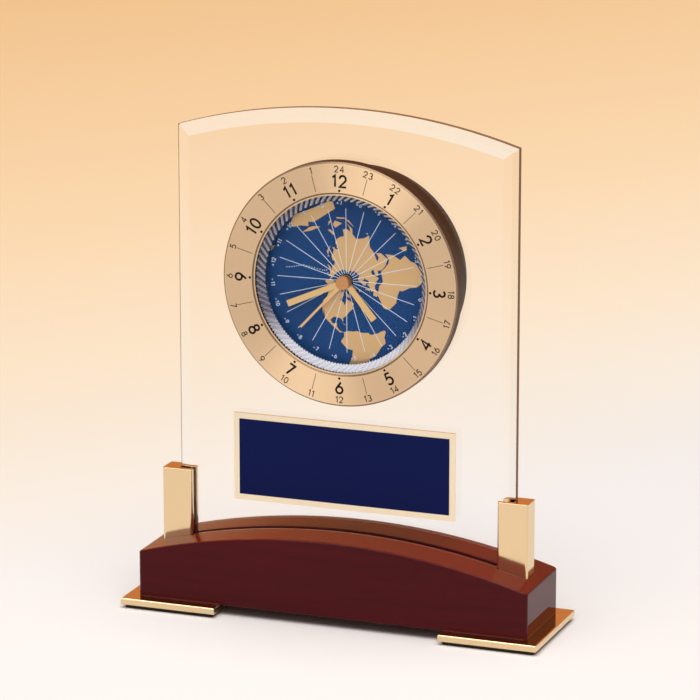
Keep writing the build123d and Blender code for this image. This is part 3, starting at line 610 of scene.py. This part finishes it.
# The tones change over this reach above and below the axis, at these shares of the way up
flute_reach = 32 * mm
foot_share = 0.1
side_share = 0.3
flute_pairs = 84
flute_length = 5.0 * mm
flute_radius = 0.55 * mm
flute_sides = 6
flute_twist = math.radians(44)
skirt_slope = math.radians(40)
skirt_middle_radius = 33.8 * mm
skirt_middle_depth = 3.6 * mm
for order, (name, (foot_tone, side_tone, top_tone)) in enumerate(flute_tones.items()):
    acrylic, tree, shader = start_material("acrylic_" + name, side_tone, Roughness=0.25)
    place = add_node(tree, "ShaderNodeTexCoord")
    upright = add_node(tree, "ShaderNodeSeparateXYZ", None, {0: place.outputs["Object"]})
    height = add_node(
        tree,
        "ShaderNodeMapRange",
        None,
        {
            "Value": upright.outputs["Z"],
            "From Min": clock_z - flute_reach,
            "From Max": clock_z + flute_reach,
        },
    )
    painted_light_ramp = add_node(tree, "ShaderNodeValToRGB", None, {"Fac": height.outputs["Result"]})
    painted_light_ramp.color_ramp.elements[0].position = foot_share
    painted_light_ramp.color_ramp.elements[0].color = colour(foot_tone)
    painted_light_ramp.color_ramp.elements[1].color = colour(top_tone)
    painted_light_ramp.color_ramp.elements.new(side_share).color = colour(side_tone)
    tree.links.new(painted_light_ramp.outputs["Color"], shader.inputs["Base Color"])

    flute = bmesh.new()
    bmesh.ops.create_cone(
        flute,
        cap_ends=True,
        segments=flute_sides,
        radius1=flute_radius,
        radius2=flute_radius,
        depth=flute_length,
        matrix=Matrix.Rotation(skirt_slope, 4, "X") @ Matrix.Rotation(flute_twist, 4, "Y"),
    )
    marks_round(
        name,
        flute,
        flute_pairs,
        skirt_middle_radius,
        clock_y + skirt_middle_depth,
        acrylic,
        "stand",
        start=order * math.pi / flute_pairs,
    )

# The lens is held in the bezel by a narrow ring of the same brushed metal
ring_inner = 34.9 * mm
ring_outer = 35.5 * mm
ring_front = 0.35 * mm
ring_back = 0.95 * mm
ring_steps = 144
ring_corners = (
    (ring_inner, ring_front),
    (ring_outer, ring_front),
    (ring_outer, ring_back),
    (ring_inner, ring_back),
)
lens_ring = bmesh.new()
loops = []
for i in range(ring_steps):
    turn = math.tau * i / ring_steps
    loops.append(
        [
            lens_ring.verts.new((out * math.sin(turn), clock_y + depth, clock_z + out * math.cos(turn)))
            for out, depth in ring_corners
        ]
    )
for first, second in zip(loops, loops[1:] + loops[:1]):
    for k in range(4):
        lens_ring.faces.new((first[k], first[(k + 1) % 4], second[(k + 1) % 4], second[k]))
finish_mesh(lens_ring, "lens_ring", brushed_champagne, "stand")


# Clock case and back
# A round can that passes through the glass, gripped by a rubber ring, with a screwed back and battery door.
# Bronze-coloured metal can; the back, door and knob are black moulded plastic with a fine grain.
bronze_case = start_material(
    "bronze_lacquered_case", "#331A0D", Roughness=0.35, Specular_IOR_Level=0.1
)[0]
dress(bronze_case, "clock_case")

black_rubber = start_material("black_rubber", "#121212", Roughness=0.7)[0]
dress(black_rubber, "grip_ring")

mould_grain = 0.5 * mm
mould_grain_height = 0.1 * mm
black_plastic, tree, shader = start_material("grained_black_plastic", "#17171A", Roughness=0.5)
grains = add_node(
    tree,
    "ShaderNodeTexVoronoi",
    None,
    {"Vector": object_point(tree, (1 / mould_grain,) * 3), "Scale": 1.0},
)
texture = add_node(
    tree,
    "ShaderNodeBump",
    None,
    {"Height": grains.outputs["Distance"], "Strength": 0.25, "Distance": mould_grain_height},
)
tree.links.new(texture.outputs["Normal"], shader.inputs["Normal"])
dress(
    black_plastic, "rear_cover", "battery_door", "setting_knob", "movement_plate", "movement_tray"
)


# Movement
# A battery quartz movement: stepping motor, drive train, motion works and the gears of the world disc.
# Acetal wheels, turned brass pipes and pinions, a copper coil, a green board and one cell.
solder_mask = start_material("green_solder_mask", "#0F4A22", Roughness=0.35)[0]
dress(solder_mask, "circuit_board")
copper_wire = start_material("enamelled_copper_wire", "#B0602F", Metallic=1.0, Roughness=0.35)[0]
dress(copper_wire, "coil")
cell_jacket = start_material("cell_jacket", "#2B2C31", Roughness=0.35)[0]
dress(cell_jacket, "battery")
white_acetal = start_material("white_acetal", "#E6E5DF", Roughness=0.4)[0]
dress(
    white_acetal, "ring_gear", "minute_wheel", "idler_gear", "third_wheel", "centre_wheel", "step_wheel"
)
turned_brass = start_material("turned_brass", "#D2AE62", Metallic=1.0, Roughness=0.25)[0]
dress(turned_brass, "hour_wheel", "cannon_pinion", "setting_shaft", "second_arbor")
sintered_magnet = start_material("sintered_magnet", "#3A3A3C", Metallic=1.0, Roughness=0.5)[0]
dress(sintered_magnet, "rotor")


# World disc
# A disc under the hands that turns once a day and shows the world from above the north pole.
# Lacquered metal: blue sea, with land printed in gold and hour lines in white.
blue_lacquer = start_material(
    "blue_lacquered_disc", "#0B3F78", Roughness=0.4, Specular_IOR_Level=0.1
)[0]
dress(blue_lacquer, "world_disc")

disc_low, disc_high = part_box("world_disc")
disc_radius = (disc_high[0] - disc_low[0]) / 2
disc_front = disc_low[1]
# The top of the dial lies at this longitude, and the rim at this many degrees from the pole
top_longitude = 104.5
rim_from_pole = 138
degrees_an_hour = 15
land_film = 0.06 * mm
# Coasts as latitude and longitude, simplified
coasts = {
    "europe_and_asia": [
        (37, -9), (43, -9), (44, -1), (48, -4), (51, 2), (53, 6), (57, 9), (54, 11), (54, 19), (59, 24),
        (60, 29), (61, 21), (66, 24), (61, 17), (56, 16), (56, 13), (59, 10), (58, 6), (62, 5), (70, 20),
        (71, 27), (67, 41), (64, 37), (68, 46), (69, 66), (73, 70), (72, 80), (77, 104), (73, 113),
        (72, 130), (71, 152), (69, 172), (66, 190), (62, 178), (60, 165), (51, 157), (58, 157), (62, 164),
        (59, 152), (59, 142), (54, 137), (53, 141), (46, 138), (43, 132), (39, 128), (35, 129), (35, 126),
        (39, 125), (40, 121), (38, 118), (37, 122), (34, 120), (30, 122), (25, 119), (22, 114), (21, 108),
        (16, 108), (11, 109), (9, 105), (13, 100), (7, 101), (1, 104), (8, 98), (16, 97), (22, 91),
        (16, 82), (8, 78), (19, 73), (23, 70), (25, 62), (30, 49), (24, 52), (23, 59), (17, 55), (13, 45),
        (21, 39), (29, 35), (36, 36), (37, 28), (41, 29), (42, 41), (47, 38), (46, 31), (41, 28), (37, 23),
        (45, 14), (40, 18), (44, 9), (43, 4), (37, -2), (36, -6),
    ],
    "africa": [
        (36, -6), (37, 10), (31, 18), (31, 33), (22, 37), (15, 40), (11, 44), (12, 51), (2, 46), (-5, 39),
        (-15, 41), (-20, 35), (-26, 33), (-34, 26), (-34, 18), (-23, 14), (-12, 13), (-1, 9), (4, 9),
        (6, 3), (5, -5), (10, -14), (15, -17), (21, -17), (28, -12),
    ],
    "north_america": [
        (66, -168), (71, -156), (69, -135), (70, -122), (68, -108), (72, -94), (67, -86), (62, -92),
        (58, -94), (55, -82), (51, -80), (56, -77), (62, -77), (59, -66), (53, -56), (50, -62), (46, -61),
        (44, -66), (41, -71), (35, -76), (31, -81), (25, -80), (30, -84), (29, -95), (22, -98), (18, -94),
        (21, -88), (16, -88), (11, -84), (9, -79), (8, -83), (15, -93), (20, -105), (31, -114), (23, -110),
        (34, -120), (40, -124), (49, -125), (58, -136), (60, -147), (55, -161), (60, -165),
    ],
    "south_america": [
        (9, -79), (11, -75), (12, -72), (11, -68), (11, -62), (8, -60), (6, -55), (4, -51), (0, -50),
        (-1, -47), (-3, -42), (-3, -39), (-5, -35), (-8, -35), (-13, -39), (-18, -40), (-22, -41),
        (-24, -46), (-28, -49), (-33, -53), (-35, -58), (-38, -58), (-39, -62), (-42, -65), (-45, -66),
        (-45, -74), (-37, -73), (-30, -71), (-18, -70), (-16, -75), (-6, -81), (-3, -80), (2, -78),
        (7, -78),
    ],
    "greenland": [
        (83, -32), (80, -17), (70, -23), (65, -40), (60, -44), (68, -53), (76, -68), (79, -68), (82, -52),
    ],
    "australia": [
        (-11, 142), (-19, 147), (-26, 153), (-33, 152), (-38, 146), (-32, 134), (-34, 119), (-34, 115),
        (-22, 114), (-14, 127), (-12, 136), (-17, 140),
    ],
    "baffin": [(73, -85), (72, -76), (66, -62), (63, -67), (66, -73), (70, -79)],
    "ellesmere": [(83, -72), (80, -65), (76, -82), (78, -92), (82, -90)],
    "victoria": [(73, -117), (72, -105), (69, -104), (69, -115)],
    "iceland": [(64, -23), (63, -18), (65, -14), (66, -18)],
    "britain": [(50, -5), (51, 1), (55, -2), (58, -3), (57, -6), (53, -4)],
    "japan": [(31, 130), (34, 136), (36, 141), (41, 142), (45, 142), (43, 145), (40, 140), (36, 136)],
    "luzon": [(18, 121), (7, 126), (8, 123), (14, 120)],
    "borneo": [(7, 117), (1, 119), (-4, 116), (1, 109)],
    "sumatra": [(5, 96), (-6, 106), (-4, 102)],
    "java": [(-6, 105), (-7, 114), (-9, 114), (-8, 107)],
    "celebes": [(1, 124), (-5, 122), (-5, 119)],
    "new_guinea": [(-1, 132), (-3, 142), (-10, 150), (-9, 142), (-7, 138)],
    "new_zealand": [(-35, 173), (-38, 178), (-46, 169), (-40, 174)],
    "madagascar": [(-12, 49), (-25, 47), (-20, 44), (-16, 45)],
    "novaya_zemlya": [(77, 68), (71, 55), (74, 54)],
    "spitsbergen": [(80, 22), (77, 16), (80, 12)],
    "cuba": [(23, -83), (20, -75), (22, -78)],
    "sri_lanka": [(9, 80), (7, 82), (6, 80)],
}


def on_disc(latitude, longitude, depth):
    """The place of a point of the globe on the disc's face."""
    turn = math.radians(top_longitude - longitude)
    out = disc_radius * (90 - latitude) / rim_from_pole
    return Vector((out * math.sin(turn), depth, clock_z + out * math.cos(turn)))


def land_slab(mesh, coast):
    """Adds one land as a thin closed film on the disc."""
    tops = [mesh.verts.new(on_disc(lat, lon, disc_front - land_film)) for lat, lon in coast]
    feet = [mesh.verts.new(on_disc(lat, lon, disc_front)) for lat, lon in coast]
    for a, b, c in tessellate_polygon([[v.co for v in tops]]):
        mesh.faces.new((tops[a], tops[b], tops[c]))
        mesh.faces.new((feet[c], feet[b], feet[a]))
    for i in range(len(coast)):
        mesh.faces.new((tops[i], tops[i - 1], feet[i - 1], feet[i]))


gold_print = start_material("gold_print", "#D3AE7C", Metallic=0.6, Roughness=0.4)[0]
land_mesh = bmesh.new()
for coast in coasts.values():
    land_slab(land_mesh, coast)
finish_mesh(land_mesh, "land", gold_print, "world_disc")

white_print = start_material("white_print", "#DCEEFF", Roughness=0.5)[0]
hour_line_width = 0.2 * mm
hour_line_inner = 2.9 * mm
line_film = 0.09 * mm
hour_line_length = 25.6 * mm
hour_line_depth = disc_front - line_film / 2
marks_round(
    "hour_lines",
    bar_mark(hour_line_width, line_film, hour_line_length),
    day_hours,
    hour_line_inner + hour_line_length / 2,
    hour_line_depth,
    white_print,
    "world_disc",
    start=math.radians(top_longitude % degrees_an_hour),
)

zone_height = 1.7 * mm
zone_pen = 0.26 * mm
zone_out = 30.6 * mm
zone_shift = 5
zone_mesh = bmesh.new()
# Hours ahead of or behind the zero meridian, each a little east of its line
for zone in range(-11, 13):
    turn = math.radians(top_longitude - degrees_an_hour * zone - zone_shift)
    text = str(zone) if zone <= 0 else "+" + str(zone)
    inward = math.cos(turn) < 0
    write_number(
        zone_mesh, text, zone_height, zone_pen, turn, zone_out, inward, disc_front - line_film, disc_front
    )
finish_mesh(zone_mesh, "zone_numbers", white_print, "world_disc")

# The date line bends round the islands near it: its corners as latitude and longitude
date_corners = [(64, 190), (55, 171), (49, 175), (18, 179), (0, 185), (-12, 187)]
date_spacing = 1.1 * mm
date_dot = 0.38 * mm
date_mesh = bmesh.new()
for start, end in zip(date_corners, date_corners[1:]):
    first = on_disc(*start, hour_line_depth)
    last = on_disc(*end, hour_line_depth)
    steps = round((last - first).length / date_spacing)
    for i in range(steps):
        one = dot_mark(date_dot, line_film)
        bmesh.ops.translate(one, verts=one.verts, vec=first.lerp(last, i / steps))
        shape = bpy.data.meshes.new("date_dot")
        one.to_mesh(shape)
        one.free()
        date_mesh.from_mesh(shape)
        bpy.data.meshes.remove(shape)
finish_mesh(date_mesh, "date_line", white_print, "world_disc")


# Hands
# Three flat batons on the centre pipes, under a small round cap.
# Stamped brass, gold plated and satin polished; the cap is a rosier gold.
plated_gold = start_material("satin_gold_plate", "#E2BE86", Metallic=1.0, Roughness=0.3)[0]
dress(plated_gold, "hour_hand", "minute_hand", "second_hand")
rose_gold = start_material("polished_rose_gold", "#C48A56", Metallic=0.5, Roughness=0.25)[0]
dress(rose_gold, "hand_cap")


# Studio
# A pale sweep under the clock, warm towards the back, a soft box overhead and an even room.
# The floor is plain paper; the room shows its warm walls to metal, glass and the camera only.
floor_reach = 6.0
floor_sides = 96
sweep_way = (-0.9, 0.75, 0.0)
sweep_length = 2.0
shadow_reach = 0.1
even_reach = 0.45
floor_mesh = bmesh.new()
bmesh.ops.create_circle(floor_mesh, cap_ends=True, segments=floor_sides, radius=floor_reach)
floor_data = bpy.data.meshes.new("floor")
floor_mesh.to_mesh(floor_data)
floor_mesh.free()
floor = bpy.data.objects.new("floor", floor_data)
bpy.context.scene.collection.objects.link(floor)
paper, tree, shader = start_material(
    "backdrop_paper", "#F3ECEA", Roughness=0.9, Specular_IOR_Level=0.0
)
place = add_node(tree, "ShaderNodeTexCoord")
away = add_node(tree, "ShaderNodeVectorMath", {"operation": "LENGTH"}, {0: place.outputs["Object"]})
backward = add_node(
    tree,
    "ShaderNodeVectorMath",
    {"operation": "DOT_PRODUCT"},
    {0: place.outputs["Object"], 1: sweep_way},
)
share = add_node(
    tree, "ShaderNodeMath", {"operation": "DIVIDE"}, {0: backward.outputs["Value"], 1: sweep_length}
)
sweep = add_node(tree, "ShaderNodeValToRGB", None, {"Fac": share.outputs[0]})
sweep.color_ramp.elements[0].position = 0.06
sweep.color_ramp.elements[0].color = colour("#F5EFED")
sweep.color_ramp.elements[1].position = 0.8
sweep.color_ramp.elements[1].color = colour("#F2C48F")
for position, code in ((0.14, "#FAEDDF"), (0.23, "#FDE6CB"), (0.39, "#FCDAB1"), (0.55, "#F8D0A2")):
    sweep.color_ramp.elements.new(position).color = colour(code)
tree.links.new(sweep.outputs["Color"], shader.inputs["Base Color"])
# Away from the clock the paper glows evenly; near it the paper is plain and takes the shadows
glow = add_node(tree, "ShaderNodeEmission", None, {"Color": sweep.outputs["Color"], "Strength": 1.0})
rays = add_node(tree, "ShaderNodeLightPath")
lit_far = add_node(
    tree,
    "ShaderNodeMapRange",
    {"interpolation_type": "SMOOTHSTEP"},
    {"Value": away.outputs["Value"], "From Min": shadow_reach, "From Max": even_reach},
)
seen = add_node(
    tree,
    "ShaderNodeMath",
    {"operation": "SUBTRACT"},
    {0: lit_far.outputs["Result"], 1: rays.outputs["Is Diffuse Ray"]},
)
even = add_node(
    tree,
    "ShaderNodeMixShader",
    None,
    {0: seen.outputs[0], 1: shader.outputs[0], 2: glow.outputs[0]},
)
tree.links.new(even.outputs[0], tree.nodes["Material Output"].inputs["Surface"])
floor.data.materials.append(paper)

# The room: warm walls behind the clock, a pale front, and a dim even light for everything matt
room_light = 0.32
world = bpy.data.worlds.new("room")
bpy.context.scene.world = world
world.use_nodes = True
tree = world.node_tree
tree.nodes.clear()
direction = add_node(tree, "ShaderNodeTexCoord")
parts = add_node(tree, "ShaderNodeSeparateXYZ", None, {0: direction.outputs["Generated"]})
walls = add_node(tree, "ShaderNodeValToRGB", None, {"Fac": parts.outputs["Z"]})
walls.color_ramp.elements[0].position = 0.0
walls.color_ramp.elements[0].color = colour("#F2C48F")
walls.color_ramp.elements[1].position = 0.9
walls.color_ramp.elements[1].color = colour("#FFFFFF")
for position, code in ((0.22, "#DA8646"), (0.5, "#C79A74")):
    walls.color_ramp.elements.new(position).color = colour(code)
behind = add_node(
    tree, "ShaderNodeMapRange", None, {"Value": parts.outputs["Y"], "From Min": -0.1, "From Max": 0.6}
)
room_colour = add_node(
    tree,
    "ShaderNodeMix",
    {"data_type": "RGBA"},
    {0: behind.outputs["Result"], 6: colour("#EFE8E0"), 7: walls.outputs["Color"]},
)
seen_room = add_node(
    tree, "ShaderNodeBackground", None, {"Color": room_colour.outputs[2], "Strength": 1.0}
)
light_room = add_node(
    tree, "ShaderNodeBackground", None, {"Color": colour("#FFF8F0"), "Strength": room_light}
)
rays = add_node(tree, "ShaderNodeLightPath")
camera_or_gloss = add_node(
    tree,
    "ShaderNodeMath",
    {"operation": "MAXIMUM"},
    {0: rays.outputs["Is Camera Ray"], 1: rays.outputs["Is Glossy Ray"]},
)
shown = add_node(
    tree,
    "ShaderNodeMath",
    {"operation": "MAXIMUM"},
    {0: camera_or_gloss.outputs[0], 1: rays.outputs["Is Transmission Ray"]},
)
mixed = add_node(
    tree,
    "ShaderNodeMixShader",
    None,
    {0: shown.outputs[0], 1: light_room.outputs[0], 2: seen_room.outputs[0]},
)
add_node(tree, "ShaderNodeOutputWorld", None, {"Surface": mixed.outputs[0]})

# The soft box
box_size = 1.8
box_watts = 23.0
box_place = Vector((0.1, -0.35, 1.4))
box_target = Vector((0.0, 0.0, 0.1))
overhead = bpy.data.lights.new("overhead_box", "AREA")
overhead.shape = "DISK"
overhead.size = box_size
overhead.energy = box_watts
overhead_lamp = bpy.data.objects.new("overhead_box", overhead)
overhead_lamp.location = box_place
# Light that would reach the dial by way of the lens comes straight to it instead
overhead_lamp.visible_transmission = False
bpy.context.scene.collection.objects.link(overhead_lamp)
overhead_lamp.rotation_euler = (box_target - box_place).to_track_quat("-Z", "Y").to_euler()


# Camera
# A long lens to the right of the clock and a little above it,
# as far back as the picture's perspective asks.
camera_yaw = 0.36
camera_pitch = 0.25
camera_distance = 1.618
camera_lens = 215.7
camera_sensor = 36.0
camera_target = Vector((1.45 * mm, 0.0, 106.9 * mm))
back = Vector(
    (
        math.sin(camera_yaw) * math.cos(camera_pitch),
        -math.cos(camera_yaw) * math.cos(camera_pitch),
        math.sin(camera_pitch),
    )
)
camera_data = bpy.data.cameras.new("camera")
camera_data.lens = camera_lens
camera_data.sensor_width = camera_sensor
camera = bpy.data.objects.new("camera", camera_data)
camera.location = camera_target + back * camera_distance
camera.rotation_euler = (-back).to_track_quat("-Z", "Y").to_euler()
bpy.context.scene.collection.objects.link(camera)
bpy.context.scene.camera = camera
bpy.context.scene.view_settings.view_transform = "Standard"
